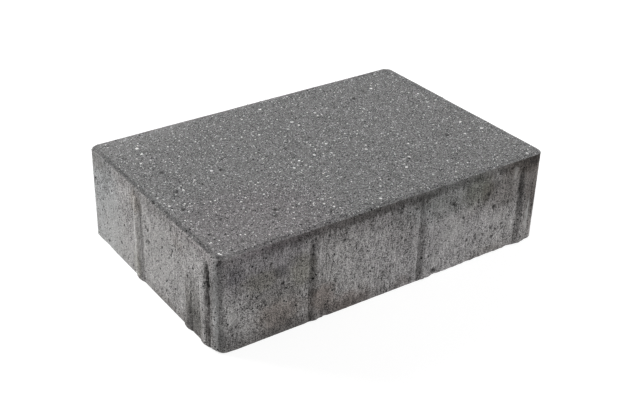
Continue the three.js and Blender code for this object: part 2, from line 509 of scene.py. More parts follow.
# One share for the painted highlights and the near corner's pale cement skin.
highlight_and_wear = on_line * line
for share in (front_bevel_highlight, corner_pale * corner_rows, other_flank * lit_flank_highlight):
    highlight_and_wear = np.maximum(highlight_and_wear, share)
carry("highlight_and_wear", highlight_and_wear)

# %% How rough each row is: the sides all over, the bevel less, and the pressed face smooth
ROUGH_INSETS, ROUGH_SHARES = [0.0, 0.05, 2.1, 2.8], [0.6, 0.5, 0.4, 0.1]
bevel_roughness = np.interp(inset_mm, ROUGH_INSETS, ROUGH_SHARES)
carry("roughness_share", np.repeat(np.where(on_bevel, bevel_roughness, 1.0), columns))

# %% [markdown]
# ## The relief, as a Geometry Nodes tree
#
# The relief only ever cuts inwards, so the stone keeps its outer sizes. First the arris of the
# foot is rounded off where concrete is missing. Then the skin is cut in along its normal: it
# waves a little, the mould wall drags upright streaks down it, sand grains show through, pores
# stay open where air was trapped, and the hollows are pressed in. Every size is a named input
# in millimetres, and one fixed seed shifts the noises, so the stone comes out the same each time.

# %% A tree with named inputs, and how to run it on a mesh
def new_tree(name, numbers):
    """A Geometry Nodes tree with a geometry, some named numbers and a material as its inputs."""
    tree = bpy.data.node_groups.new(name, "GeometryNodeTree")
    tree.interface.new_socket("Geometry", in_out="OUTPUT", socket_type="NodeSocketGeometry")
    tree.interface.new_socket("Geometry", in_out="INPUT", socket_type="NodeSocketGeometry")
    for number in numbers:
        tree.interface.new_socket(number, in_out="INPUT", socket_type="NodeSocketFloat")
    tree.interface.new_socket("Material", in_out="INPUT", socket_type="NodeSocketMaterial")
    return tree, add(tree, "NodeGroupInput").outputs


def run_tree(name, mesh, tree, numbers, material):
    """The mesh after the tree, as a new object with a plain mesh and no modifier."""
    made = bpy.data.objects.new(name, mesh)
    bpy.context.scene.collection.objects.link(made)
    modifier = made.modifiers.new(tree.name, "NODES")
    modifier.node_group = tree
    values = {**numbers, "Material": material}
    for socket in tree.interface.items_tree:
        if socket.name in values:
            modifier[socket.identifier] = values[socket.name]
    evaluated = made.evaluated_get(bpy.context.evaluated_depsgraph_get())
    plain = bpy.data.meshes.new_from_object(evaluated)
    made.modifiers.clear()
    made.data = plain
    print(name, "triangles:", sum(len(face.vertices) - 2 for face in plain.polygons))
    return made


def finish_tree(tree, geometry, material):
    """Ends a tree: real meshes in place of instances, then the material."""
    real = add(tree, "GeometryNodeRealizeInstances", {"Geometry": geometry})
    dressed = add(tree, "GeometryNodeSetMaterial", {"Geometry": real, "Material": material})
    add(tree, "NodeGroupOutput", {"Geometry": dressed})
    print(tree.name, "nodes:", len(tree.nodes))


# %% Sizes of the relief, in millimetres, and what it reads from the mesh
RELIEF = {
    "Wave Size": 34.0, "Wave Depth": 0.20,
    "Streak Width": 3.6, "Streak Length": 30.0, "Streak Depth": 0.14,
    "Grain Size": 2.3, "Grain Depth": 0.22, "Grain Depth On Face": 0.05,
    "Pore Spacing": 6.5, "Pore Radius": 1.7, "Pore Warp": 2.4, "Pore Depth": 0.9,
    "Chip Size": 6.0, "Chip Depth": 1.6,
    "Seed": float(SEED),
}
relief, size = new_tree("cast_relief", RELIEF)
position = add(relief, "GeometryNodeInputPosition")
height = add(relief, "ShaderNodeSeparateXYZ", {0: position}).outputs["Z"]
in_mm = add(relief, "ShaderNodeVectorMath", {0: position, "Scale": 1 / MM}, operation="SCALE")
place = add(relief, "ShaderNodeVectorMath", {0: in_mm, 1: size["Seed"]}, operation="ADD")
way_out = add(relief, "GeometryNodeInputNamedAttribute", {"Name": "outward"}, data_type="FLOAT_VECTOR")
told = {}
for name in ("inset", "foot_gap", "roughness_share", "torn_and_shaded", "hollow_depth"):
    told[name] = add(relief, "GeometryNodeInputNamedAttribute", {"Name": name}, data_type="FLOAT")

# %% The foot's arris, rounded to the radius that the gap and a chip noise ask for
CHIP_NOISE_LOW, CHIP_NOISE_HIGH = 0.35, 0.75
LEAST_CHIP = 0.5

chip_scale = add(relief, "ShaderNodeMath", {0: 1.0, 1: size["Chip Size"]}, operation="DIVIDE")
chips = add(relief, "ShaderNodeTexNoise", {"Vector": place, "Scale": chip_scale, "Detail": 2.0})
broken = add(relief, "ShaderNodeMapRange", {
    "Value": chips, "From Min": CHIP_NOISE_LOW, "From Max": CHIP_NOISE_HIGH,
    "To Min": LEAST_CHIP, "To Max": size["Chip Depth"]})
radius = add(relief, "ShaderNodeMath", {0: told["foot_gap"], 1: broken}, operation="MULTIPLY")

to_side = add(relief, "ShaderNodeMath", {0: radius, 1: told["inset"]}, operation="SUBTRACT")
to_bed = add(relief, "ShaderNodeMath", {0: radius, 1: height}, operation="SUBTRACT")
corner = add(relief, "ShaderNodeCombineXYZ", {0: to_side, 1: to_bed})
corner = add(relief, "ShaderNodeVectorMath", {0: corner, 1: (0, 0, 0)}, operation="MAXIMUM")
reach = add(relief, "ShaderNodeVectorMath", {0: corner}, operation="LENGTH").outputs["Value"]
reach = add(relief, "ShaderNodeMath", {0: reach, 1: radius}, operation="MAXIMUM")
kept = add(relief, "ShaderNodeMath", {0: radius, 1: reach}, operation="DIVIDE")
lost = add(relief, "ShaderNodeMath", {0: 1.0, 1: kept}, operation="SUBTRACT")
moved = add(relief, "ShaderNodeVectorMath", {0: corner, "Scale": lost}, operation="SCALE")
parts = add(relief, "ShaderNodeSeparateXYZ", {0: moved}).outputs
inwards = add(relief, "ShaderNodeMath", {0: parts["X"], 1: -1.0}, operation="MULTIPLY")
sideways = add(relief, "ShaderNodeVectorMath", {0: way_out, "Scale": inwards}, operation="SCALE")
upwards = add(relief, "ShaderNodeCombineXYZ", {2: parts["Y"]})
blunting = add(relief, "ShaderNodeVectorMath", {0: sideways, 1: upwards}, operation="ADD")
blunted = add(relief, "GeometryNodeSetPosition", {"Geometry": size["Geometry"], "Offset": blunting})

# %% Waves, streaks and grain: three noises that differ in size and stretch
NOISE_LOW, NOISE_HIGH = 0.28, 0.72
TORN_GRAIN = 1.5


def stretched_noise(tree, place, blob, detail):
    """Noise whose blobs have a given size along x, y and z."""
    stretched = add(tree, "ShaderNodeVectorMath", {0: place, 1: blob}, operation="DIVIDE")
    return add(tree, "ShaderNodeTexNoise", {"Vector": stretched, "Scale": 1.0, "Detail": detail})


on_side = told["roughness_share"]
streak_blob = add(relief, "ShaderNodeCombineXYZ", {
    0: size["Streak Width"], 1: size["Streak Width"], 2: size["Streak Length"]})
depths = []
for blob, depth, detail in [
    (size["Wave Size"], size["Wave Depth"], 1.0),
    (streak_blob, size["Streak Depth"], 3.0),
    (size["Grain Size"], size["Grain Depth"], 2.0),
]:
    depths.append(add(relief, "ShaderNodeMapRange", {
        "Value": stretched_noise(relief, place, blob, detail),
        "From Min": NOISE_LOW, "From Max": NOISE_HIGH, "To Max": depth}))
wave_depth, streak_depth, grain_depth = depths
streak_depth = add(relief, "ShaderNodeMath", {0: streak_depth, 1: on_side}, operation="MULTIPLY")

# Grain is fine on the pressed face, full on the sides, and more than that on a torn flank.
face_grain = add(relief, "ShaderNodeMath", {0: size["Grain Depth On Face"], 1: size["Grain Depth"]},
                 operation="DIVIDE")
grain_share = add(relief, "ShaderNodeMapRange", {"Value": on_side, "To Min": face_grain})
grain_share = add(relief, "ShaderNodeMath", {0: told["torn_and_shaded"], 1: TORN_GRAIN, 2: grain_share},
                  operation="MULTIPLY_ADD")
grain_depth = add(relief, "ShaderNodeMath", {0: grain_depth, 1: grain_share}, operation="MULTIPLY")

# %% Pores: pits at the points of a loose and warped cell pattern, each with its own radius
PORE_WARP_SIZE = 2.0

warp = add(relief, "ShaderNodeTexNoise", {"Vector": place, "Scale": 1 / PORE_WARP_SIZE, "Detail": 1.0})
warp = add(relief, "ShaderNodeVectorMath", {0: warp.outputs["Color"], "Scale": size["Pore Warp"]},
           operation="SCALE")
pore_place = add(relief, "ShaderNodeVectorMath", {0: place, 1: warp}, operation="ADD")
pore_place = add(relief, "ShaderNodeVectorMath", {0: pore_place, 1: size["Pore Spacing"]}, operation="DIVIDE")
cells = add(relief, "ShaderNodeTexVoronoi", {"Vector": pore_place, "Scale": 1.0})
from_middle = add(relief, "ShaderNodeMath", {0: cells.outputs["Distance"], 1: size["Pore Spacing"]},
                  operation="MULTIPLY")
luck = add(relief, "FunctionNodeSeparateColor", {0: cells.outputs["Color"]}).outputs[0]
pore_radius = add(relief, "ShaderNodeMath", {0: luck, 1: size["Pore Radius"]}, operation="MULTIPLY")
pit = add(relief, "ShaderNodeMapRange", {"Value": from_middle, "From Min": pore_radius, "From Max": 0.0},
          interpolation_type="SMOOTHSTEP")
open_pore = add(relief, "ShaderNodeMath", {0: pit, 1: on_side}, operation="MULTIPLY")
pore_depth = add(relief, "ShaderNodeMath", {0: open_pore, 1: size["Pore Depth"]}, operation="MULTIPLY")

# %% All depths together, cut in along the normal, and less of it at the very foot
FOOT_SHARE = 0.35
FOOT_FROM, FOOT_TO = 1.5 * MM, 4.0 * MM

total = wave_depth
for part in (streak_depth, grain_depth, pore_depth, told["hollow_depth"]):
    total = add(relief, "ShaderNodeMath", {0: total, 1: part}, operation="ADD")
inwards = add(relief, "ShaderNodeMapRange", {
    "Value": height, "From Min": FOOT_FROM, "From Max": FOOT_TO, "To Min": -MM * FOOT_SHARE, "To Max": -MM})
total = add(relief, "ShaderNodeMath", {0: total, 1: inwards}, operation="MULTIPLY")
normal = add(relief, "GeometryNodeInputNormal")
cut = add(relief, "ShaderNodeVectorMath", {0: normal, "Scale": total}, operation="SCALE")
marked = add(relief, "GeometryNodeStoreNamedAttribute", {
    "Geometry": blunted, "Name": "open_pore", "Value": open_pore}, data_type="FLOAT", domain="POINT")
carved = add(relief, "GeometryNodeSetPosition", {"Geometry": marked, "Offset": cut})
finish_tree(relief, carved, size["Material"])

# %% [markdown]
# ## Cast concrete
#
# Pressed concrete is grey cement paste round sand. It is matt and nearly neutral in colour.
# The wearing face is a facing mortar, darkened with a little black oxide and full of fine
# sand, so it is an even dark grey with grains of every shade. The sides are the coarser base
# concrete: paler, streaked upright by the mould wall, with dark open pores, and clouded by
# damp, brown and greenish patches that a stone picks up in its stack.
#
# All patterns are drawn in millimetres on Object coordinates. Such sand is 0.3 to 1 mm, so one
# cell of 0.55 mm stands for one grain, and together they give a fine, even speckle.

# %% A material, and places on it in millimetres
def new_material(name):
    """A material with an empty tree."""
    made = bpy.data.materials.new(name)
    made.use_nodes = True
    made.node_tree.nodes.clear()
    return made, made.node_tree


def places_in_mm(tree):
    """Object coordinates in millimetres."""
    object_place = add(tree, "ShaderNodeTexCoord").outputs["Object"]
    return add(tree, "ShaderNodeVectorMath", {0: object_place, "Scale": 1 / MM}, operation="SCALE")


def stops(ramp, colours):
    """Sets the stops of a colour ramp: its first, its last, and those between."""
    ends = ramp.color_ramp.elements
    for stop, (at, colour) in zip(ends, (colours[0], colours[-1])):
        stop.position = at
        stop.color = linear(colour)
    for at, colour in colours[1:-1]:
        ends.new(at).color = linear(colour)


def cell_pattern(tree, place, spacing):
    """How far each place lies from the middle of its cell, and the luck of that cell."""
    cells = add(tree, "ShaderNodeTexVoronoi", {"Vector": place, "Scale": 1 / spacing})
    luck = add(tree, "ShaderNodeSeparateColor", {0: cells.outputs["Color"]}).outputs[0]
    return cells.outputs["Distance"], luck


# A colour mix has its factor and its two colours at these numbers.
MIX_FACTOR, MIX_A, MIX_B = 0, 6, 7

concrete, tree = new_material("pressed_concrete")
place = places_in_mm(tree)
height = add(tree, "ShaderNodeSeparateXYZ", {0: place}).outputs["Z"]
told = {}
for name in ("facing_show", "facing_foot", "left_bevel_shade", "highlight_and_wear", "torn_and_shaded", "pressed", "open_pore", "hollow"):
    told[name] = add(tree, "ShaderNodeAttribute", attribute_name=name).outputs["Fac"]

# %% Facing mortar: even dark grey, with light and dark sand
SAND_SIZE = 0.55
FACING_SAND = [
    (0.0, "#141414"), (0.3, "#616161"), (0.78, "#919191"), (0.978, "#a6a6a6"), (0.988, "#f4f4f4"),
    (1.0, "#ffffff"),
]
from_grain, sand_shade = cell_pattern(tree, place, SAND_SIZE)
facing_colour = add(tree, "ShaderNodeValToRGB", {0: sand_shade})
stops(facing_colour, FACING_SAND)

# %% Base concrete: upright streaks, fine and broad, over soft clouds
STREAKS = {
    # blob size along x, y and z (mm), detail, share of the tone
    "sand": ((0.75, 0.75, 0.8), 1.0, 0.49),
    "fine_scratches": ((0.9, 0.9, 5.0), 1.0, 0.21),
    "drag_marks": ((2.6, 2.6, 22.0), 2.0, 0.12),
    "clouds": ((11.0, 11.0, 14.0), 4.0, 0.18),
}
SAND_SHARE = 0.09
tone = add(tree, "ShaderNodeMath", {0: sand_shade, 1: SAND_SHARE, 2: -SAND_SHARE / 2},
           operation="MULTIPLY_ADD")
for blob, detail, share in STREAKS.values():
    noise = stretched_noise(tree, place, blob, detail)
    tone = add(tree, "ShaderNodeMath", {0: noise, 1: share, 2: tone}, operation="MULTIPLY_ADD")
base_colour = add(tree, "ShaderNodeValToRGB", {0: tone})
stops(base_colour, [(0.38, "#403e3d"), (0.62, "#d9d6d5")])

# %% [markdown]
# The mix was driest by the near left corner. Dry concrete packs badly, so more of its pale
# sand lies bare there, and more pinholes stay open.

# %% Pale sand that lies bare
NEAR_CORNER = (-149.0, -99.0, 40.0)
DRY_WITHIN, DRY_UP_TO = 40.0, 110.0
DRY_PALE_FROM, PALE_FROM = 0.945, 0.984
PALE_EDGE = 0.012
from_corner = add(tree, "ShaderNodeVectorMath", {0: place, 1: NEAR_CORNER}, operation="DISTANCE")
dryness = {"Value": from_corner.outputs["Value"], "From Min": DRY_WITHIN, "From Max": DRY_UP_TO}
pale_from = add(tree, "ShaderNodeMapRange", {**dryness, "To Min": DRY_PALE_FROM, "To Max": PALE_FROM})
pale_to = add(tree, "ShaderNodeMath", {0: pale_from, 1: PALE_EDGE}, operation="ADD")
pale_grain = add(tree, "ShaderNodeMapRange", {
    "Value": sand_shade, "From Min": pale_from, "From Max": pale_to})
colour = add(tree, "ShaderNodeMix", {MIX_FACTOR: pale_grain, MIX_A: base_colour, MIX_B: linear("#e8e7e5")},
             data_type="RGBA")

# %% The facing's dark paste, on the side below the bevel: its lower edge wanders
FACING_LINE = 70.0
FACING_FADE = 1.3
FACING_WANDER = 14.0
FACING_LUMPS = (2.2, 2.2, 7.0)
wander = stretched_noise(tree, place, FACING_LUMPS, detail=4.0)
above = add(tree, "ShaderNodeMath", {0: wander, 1: FACING_WANDER, 2: height}, operation="MULTIPLY_ADD")
paste = add(tree, "ShaderNodeMapRange", {
    "Value": above, "From Min": FACING_LINE + FACING_WANDER / 2 - FACING_FADE,
    "From Max": FACING_LINE + FACING_WANDER / 2 + FACING_FADE})
paste = add(tree, "ShaderNodeMath", {0: paste, 1: told["facing_show"]}, operation="MULTIPLY")
colour = add(tree, "ShaderNodeMix", {MIX_FACTOR: paste, MIX_A: colour, MIX_B: linear("#a5a3a2")},
             data_type="RGBA", blend_type="MULTIPLY")

# %% [markdown]
# Water, clay and algae leave soft patches with ragged edges, and cement paste is wiped along
# the mould wall. Both are drawn as blurred ellipsoids, whose places a noise pulls about, and so
# is the painted shade on some rib and burr flanks and along the front's foot.

# %% A soft patch
RAGGED_SIZE = 7.0
RAGGEDNESS = (10.0, 10.0, 16.0)
NOISE_MIDDLE = (0.5, 0.5, 0.5)
PATCH_EDGE, PATCH_HEART = 1.1, 0.35
ragged = add(tree, "ShaderNodeTexNoise", {"Vector": place, "Scale": 1 / RAGGED_SIZE, "Detail": 3.0})
ragged = add(tree, "ShaderNodeVectorMath", {0: ragged.outputs["Color"], 1: NOISE_MIDDLE},
             operation="SUBTRACT")
patch_place = add(tree, "ShaderNodeVectorMath", {0: ragged, 1: RAGGEDNESS, 2: place},
                  operation="MULTIPLY_ADD")


def patched(name, under, centre, reach, tint, strength, blend):
    """The colour under a soft patch, tinted where the patch lies."""
    away = add(tree, "ShaderNodeVectorMath", {0: patch_place, 1: centre}, operation="SUBTRACT")
    away = add(tree, "ShaderNodeVectorMath", {0: away, 1: reach}, operation="DIVIDE")
    away = add(tree, "ShaderNodeVectorMath", {0: away}, operation="LENGTH").outputs["Value"]
    patch = add(tree, "ShaderNodeMapRange", {
        "Value": away, "From Min": PATCH_EDGE, "From Max": PATCH_HEART, "To Max": strength},
        interpolation_type="SMOOTHSTEP")
    return add(tree, "ShaderNodeMix", {MIX_FACTOR: patch, MIX_A: under, MIX_B: tint},
               data_type="RGBA", blend_type=blend, label=name)


# %% Stains and painted shade, each named for what left it or for the shade, and where it lies
STAINS = {
    # place, reach (mm), colour that multiplies the concrete, strength
    "damp_front_left": ((-112, -99, 64), (56, 14, 34), "#cbc9cd", 0.9),
    "damp_spot_left": ((-134, -99, 60), (8, 8, 10), "#bcbcc0", 0.7),
    "damp_spot_right": ((-98, -99, 52), (7, 8, 9), "#bcbcc0", 0.7),
    "green_front_left": ((-112, -99, 50), (22, 10, 12), "#e6e6db", 0.9),
    "green_by_rib": ((-80, -99, 48), (14, 10, 16), "#eaeadf", 0.9),
    # Painted shade along the foot of the long front.
    "shade_front_foot": ((-62, -99, 1), (92, 10, 11), "#c2c0bf", 0.9),
    "damp_low_left": ((-98, -99, 35), (34, 9, 9), "#d4d3d1", 0.9),
    "damp_by_middle_rib": ((10, -99, 52), (22, 9, 24), "#e4e3e2", 0.9),
    "brown_low_left": ((-98, -99, 18), (26, 10, 18), "#c9c1bb", 0.9),
    "brown_by_rib": ((-62, -99, 18), (16, 10, 16), "#d0c6c0", 0.9),
    "brown_foot": ((-38, -99, 6), (28, 10, 12), "#dad2ce", 0.9),
    "dark_foot_corner": ((-146, -99, 13), (6, 10, 12), "#b8b8b8", 0.7),
    "damp_below_facing": ((-20, -99, 70), (80, 9, 14), "#d8d7d7", 0.9),
    "damp_under_edge": ((82, -99, 63), (18, 9, 20), "#bfbfb6", 0.9),
    "brown_spot": ((93, -99, 60), (9, 9, 14), "#b9b4ab", 0.7),
    "damp_right": ((110, -99, 56), (23, 9, 25), "#b5b2af", 0.9),
    "brown_right_end": ((128, -99, 72), (26, 14, 12), "#bab4ae", 0.9),
    "dark_right_end": ((141, -99, 54), (17, 12, 36), "#9b9591", 0.9),
    "damp_upper_right": ((56, -99, 60), (30, 9, 16), "#d6d5d3", 0.9),
    "damp_left_side": ((-149, 74, 68), (10, 11, 14), "#e9e9e8", 0.9),
    "cool_far_end": ((-149, 80, 34), (10, 40, 90), "#f8fdff", 1.0),
    "cool_upper_right": ((52, -99, 68), (60, 10, 24), "#f6fbfa", 1.0),
    "cool_middle": ((40, -99, 40), (85, 10, 70), "#fdfdff", 1.0),
    "damp_far_top": ((-149, 86, 71), (8, 18, 12), "#d6d4d1", 0.9),
    "brown_rib_top": ((-149, 20, 66), (9, 12, 12), "#dad6cf", 0.9),
    "damp_left_upper": ((-149, -44, 64), (8, 14, 9), "#e2e0de", 0.9),
    "damp_left_edge_foot": ((-149, -40, 0), (10, 62, 9), "#cccac8", 0.9),
    "green_left_side": ((-149, 20, 12), (10, 9, 16), "#d8d7cb", 0.8),
    "damp_left_foot": ((-149, -70, 8), (10, 10, 24), "#bcbcb9", 0.9),
    "damp_left_low": ((-149, -67, 26), (10, 18, 26), "#d3d3d0", 0.9),
    # Painted shade on rib and burr flanks of the sides.
    "shaded_rib": ((-150, -87.5, 54), (6, 3, 34), "#8a8886", 0.9),
    "shaded_burr": ((-150, -56.8, 11), (6, 6.5, 18), "#a8a6a4", 0.9),
    "burr_flank": ((-150, -58, 28), (6, 5, 10), "#dcdbd9", 0.9),
    "near_rib_flank": ((-150, -77.5, 12), (6, 4.5, 20), "#dddcda", 0.9),
    "shaded_rib_foot": ((-150, -86, 16), (6, 4.5, 18), "#c2c0be", 0.9),
    "shaded_right_rib": ((127.5, -100, 50), (3.5, 5, 20), "#c4c4c4", 0.9),
    "rib_back": ((-151, 17, 34), (5, 6, 30), "#cecdc9", 0.9),
    "by_near_corner": ((-149, -91, 34), (6, 3.5, 50), "#d8d8d7", 0.9),
    "damp_upper_middle": ((38, -99, 67), (16, 9, 13), "#e8e8e7", 0.9),
    "damp_right_middle": ((76, -99, 44), (26, 9, 8), "#eae9e8", 0.9),
    "damp_end_low": ((141, -99, 24), (14, 12, 26), "#cfcdcb", 0.9),
    # Painted shade along the foot of the long front, on its left part.
    "shade_foot_left": ((-110, -99, 3), (44, 10, 9), "#d9d8d7", 0.9),
    "damp_foot_near": ((-137, -99, 12), (13, 10, 16), "#dcdcdc", 0.9),
    "damp_foot_right": ((100, -99, 3), (28, 10, 8), "#dcdad8", 0.9),
    "damp_middle": ((-62, -99, 37), (12, 9, 14), "#eeeeed", 0.9),
    "dark_rib_top": ((27, -99, 70), (14, 9, 7), "#cbc9c7", 0.9),
    "damp_rib_foot": ((12, -99, 4), (13, 9, 7), "#d9d6d4", 0.9),
    "damp_back": ((40, 99, 40), (150, 10, 120), "#d6d5d4", 0.9),
    "damp_back_foot": ((60, 99, 0), (100, 10, 14), "#cfcdcb", 0.9),
    "damp_back_left": ((-86, 99, 54), (40, 9, 26), "#dddcda", 0.9),
    "brown_back": ((36, 99, 24), (34, 9, 18), "#d9d1ca", 0.9),
    "damp_right_end": ((149, 20, 40), (10, 105, 120), "#dcdbda", 0.9),
    "brown_right_foot": ((149, 34, 16), (8, 30, 20), "#dad3cd", 0.9),
}
for name, (centre, reach, tint, strength) in STAINS.items():
    colour = patched(name, colour, centre, reach, linear(tint), strength, "MULTIPLY")
print("stains:", len(STAINS))

# %% Cement smears: pale patches, where paste was wiped along the wall
SMEARS = {
    # place, reach (mm), strength
    "near_corner": ((-137, -99, 32), (5, 8, 13), 0.42),
    "near_edge": ((-148, -98, 38), (7, 6, 50), 0.15),
    "low_left": ((-93, -99, 29), (6, 8, 8), 0.16),
    "front_middle": ((58, -99, 28), (20, 8, 18), 0.15),
    "right_rib": ((137, -99, 24), (3.2, 8, 22), 0.7),
    "left_rib_foot": ((-150.5, 25, 11), (5, 3.2, 14), 0.4),
    "under_bevel": ((120, -99, 67), (3, 8, 7), 0.35),
    "far_end": ((-149, 72, 14), (8, 46, 34), 0.3),
    "left_middle": ((-149, -10, 38), (8, 44, 34), 0.27),
    "left_low_far": ((-149, 48, 13), (8, 46, 17), 0.2),
    "by_burr": ((-149, -50.5, 28), (5, 4, 15), 0.25),
    "left_far_middle": ((-149, 64, 32), (8, 18, 30), 0.22),
    "left_beside_rib": ((-149, 44, 36), (8, 12, 13), 0.2),
    "left_middle_foot": ((-149, 0, 8), (8, 13, 14), 0.2),
    "beside_rib": ((62, -99, 36), (12, 8, 13), 0.22),
    "beside_rib_foot": ((42, -99, 14), (9, 8, 9), 0.22),
    "back_left": ((-54, 99, 36), (74, 8, 60), 0.34),
    "back_right": ((98, 99, 34), (62, 8, 54), 0.30),
    "right_end": ((149, -14, 34), (8, 66, 54), 0.30),
    "left_upper_near": ((-149, -66, 72), (8, 13, 8), 0.14),
}
SMEAR_COLOUR = linear("#c6c5c3")
for name, (centre, reach, strength) in SMEARS.items():
    colour = patched(name, colour, centre, reach, SMEAR_COLOUR, strength, "MIX")
print("smears:", len(SMEARS))

# %% The facing's sand from the lower edge of the bevel up, then the painted highlights and the left bevel's painted shade
FACING_EDGE = 0.15
PALE_TONE_LOW, PALE_TONE_HIGH = 0.40, 0.60
facing_clear = add(tree, "ShaderNodeMath", {0: told["facing_foot"], 1: FACING_EDGE}, operation="ADD")
on_face = add(tree, "ShaderNodeMapRange", {
    "Value": height, "From Min": told["facing_foot"], "From Max": facing_clear})
# The painted highlights keep the grain of the tone under them.
highlight_and_wear_tone = add(tree, "ShaderNodeMapRange", {
    "Value": tone, "From Min": PALE_TONE_LOW, "From Max": PALE_TONE_HIGH})
highlight_and_wear_colour = add(tree, "ShaderNodeMix", {
    MIX_FACTOR: highlight_and_wear_tone, MIX_A: linear("#a2a19f"), MIX_B: linear("#ffffff")}, data_type="RGBA")
for share, over, blend in [
    (on_face, facing_colour, "MIX"),
    (told["highlight_and_wear"], highlight_and_wear_colour, "MIX"),
    # painted shade on the left bevel
    (told["left_bevel_shade"], linear("#cfcfcf"), "MULTIPLY"),
]:
    colour = add(tree, "ShaderNodeMix", {MIX_FACTOR: share, MIX_A: colour, MIX_B: over},
                 data_type="RGBA", blend_type=blend)

# %% Soft patches on the wearing face
FACE_SMEARS = {
    # place, reach (mm), strength
    "pale_far_corner": ((-130, 101, 79), (95, 42, 20), 0.10),
    "pale_back_edge": ((-20, 99, 79), (170, 11, 20), 0.08),
    "pale_left_edge": ((-143, -20, 79), (9, 80, 5), 0.06),
    "pale_near_face": ((-112, -76, 79), (56, 44, 6), 0.05),
    "pale_near_edge": ((-136, -98, 79), (12, 4.5, 5), 0.12),
    "pale_near_corner": ((-147, -95, 78), (6, 7, 3), 0.25),
}
WARM_CORNER = ((-100, -70, 79), (80, 60, 12), linear("#fffafc"), 1.0)
colour = patched("warm_near_corner", colour, *WARM_CORNER, "MULTIPLY")
for name, (centre, reach, strength) in FACE_SMEARS.items():
    colour = patched(name, colour, centre, reach, SMEAR_COLOUR, strength, "MIX")

# %% Open pores: dark, because little light gets into them, and evenly dark in their middle
PORE_SPACING = 3.4
PORE_RADIUS = 1.5
PORE_WARP = (1.2, 1.2, 1.2)
PORE_FLOOR = 1.6
CROWD_SIZE = 18.0
CROWD_LOW, CROWD_HIGH, CROWD_LEAST = 0.35, 0.65, 0.35
warped = add(tree, "ShaderNodeTexNoise", {"Vector": place, "Scale": 1.0, "Detail": 1.0})
warped = add(tree, "ShaderNodeVectorMath", {0: warped.outputs["Color"], 1: PORE_WARP, 2: place},
             operation="MULTIPLY_ADD")
from_pore, luck = cell_pattern(tree, warped, PORE_SPACING)
crowd = add(tree, "ShaderNodeTexNoise", {"Vector": place, "Scale": 1 / CROWD_SIZE, "Detail": 2.0})
crowd = add(tree, "ShaderNodeMapRange", {
    "Value": crowd, "From Min": CROWD_LOW, "From Max": CROWD_HIGH, "To Min": CROWD_LEAST})
pore_reach = add(tree, "ShaderNodeMath", {0: luck, 1: crowd}, operation="MULTIPLY")
pore_reach = add(tree, "ShaderNodeMath", {0: pore_reach, 1: PORE_RADIUS / PORE_SPACING}, operation="MULTIPLY")
pit = add(tree, "ShaderNodeMapRange", {
    "Value": from_pore, "From Min": pore_reach, "From Max": 0.0, "To Max": PORE_FLOOR},
    interpolation_type="SMOOTHSTEP")

# %% Pinholes: small, deep and nearly black, the black being painted shade in each hole; most of them on the left bevel's shaded band
PINHOLE_SPACING = 2.0
PINHOLE_SMALLEST, PINHOLE_LARGEST = 0.50, 1.0
PINHOLE_RARITY = 3.5
PINHOLE_EDGE = 0.12
DRY_LUCK, PLAIN_LUCK, SHADED_BEVEL_LUCK, FACE_LUCK = 0.85, 0.93, 0.72, 0.91
from_pinhole, luck = cell_pattern(tree, place, PINHOLE_SPACING)
face_luck = add(tree, "ShaderNodeMath", {0: on_face, 1: FACE_LUCK}, operation="MULTIPLY")
least_luck = add(tree, "ShaderNodeMapRange", {**dryness, "To Min": DRY_LUCK, "To Max": PLAIN_LUCK})
least_luck = add(tree, "ShaderNodeMath", {0: least_luck, 1: face_luck}, operation="MAXIMUM")
least_luck = add(tree, "ShaderNodeMapRange", {
    "Value": told["left_bevel_shade"], "To Min": least_luck, "To Max": SHADED_BEVEL_LUCK})
spare = add(tree, "ShaderNodeMapRange", {"Value": luck, "From Min": least_luck, "From Max": 1.0})
open_here = add(tree, "ShaderNodeMath", {0: spare, 1: 0.0}, operation="GREATER_THAN")
spare = add(tree, "ShaderNodeMath", {0: spare, 1: PINHOLE_RARITY}, operation="POWER")
hole = add(tree, "ShaderNodeMapRange", {
    "Value": spare, "To Min": PINHOLE_SMALLEST, "To Max": PINHOLE_LARGEST})
from_middle = add(tree, "ShaderNodeMath", {0: from_pinhole, 1: PINHOLE_SPACING}, operation="MULTIPLY")
hole = add(tree, "ShaderNodeMath", {0: hole, 1: from_middle}, operation="SUBTRACT")
hole = add(tree, "ShaderNodeMapRange", {"Value": hole, "From Max": PINHOLE_EDGE})
hole = add(tree, "ShaderNodeMath", {0: hole, 1: open_here}, operation="MULTIPLY")

# %% Painted shade: torn flanks, open pores and hollows are darkened where little light reaches, and lit flanks are dimmed
FLANK_SHADE_LUMPS = (7.0, 7.0, 12.0)
LUMPS_LOW, LUMPS_HIGH = 0.4, 0.6
FLANK_SHADE_LEAST, FLANK_SHADE_MOST = 0.20, 0.90
PORE_SHADE, HOLLOW_SHADE = 0.7, 0.85
lumps = stretched_noise(tree, place, FLANK_SHADE_LUMPS, detail=3.0)
lumps = add(tree, "ShaderNodeMapRange", {
    "Value": lumps, "From Min": LUMPS_LOW, "From Max": LUMPS_HIGH, "To Min": FLANK_SHADE_LEAST, "To Max": FLANK_SHADE_MOST})
torn_and_shaded = add(tree, "ShaderNodeMath", {0: told["torn_and_shaded"], 1: lumps}, operation="MULTIPLY")
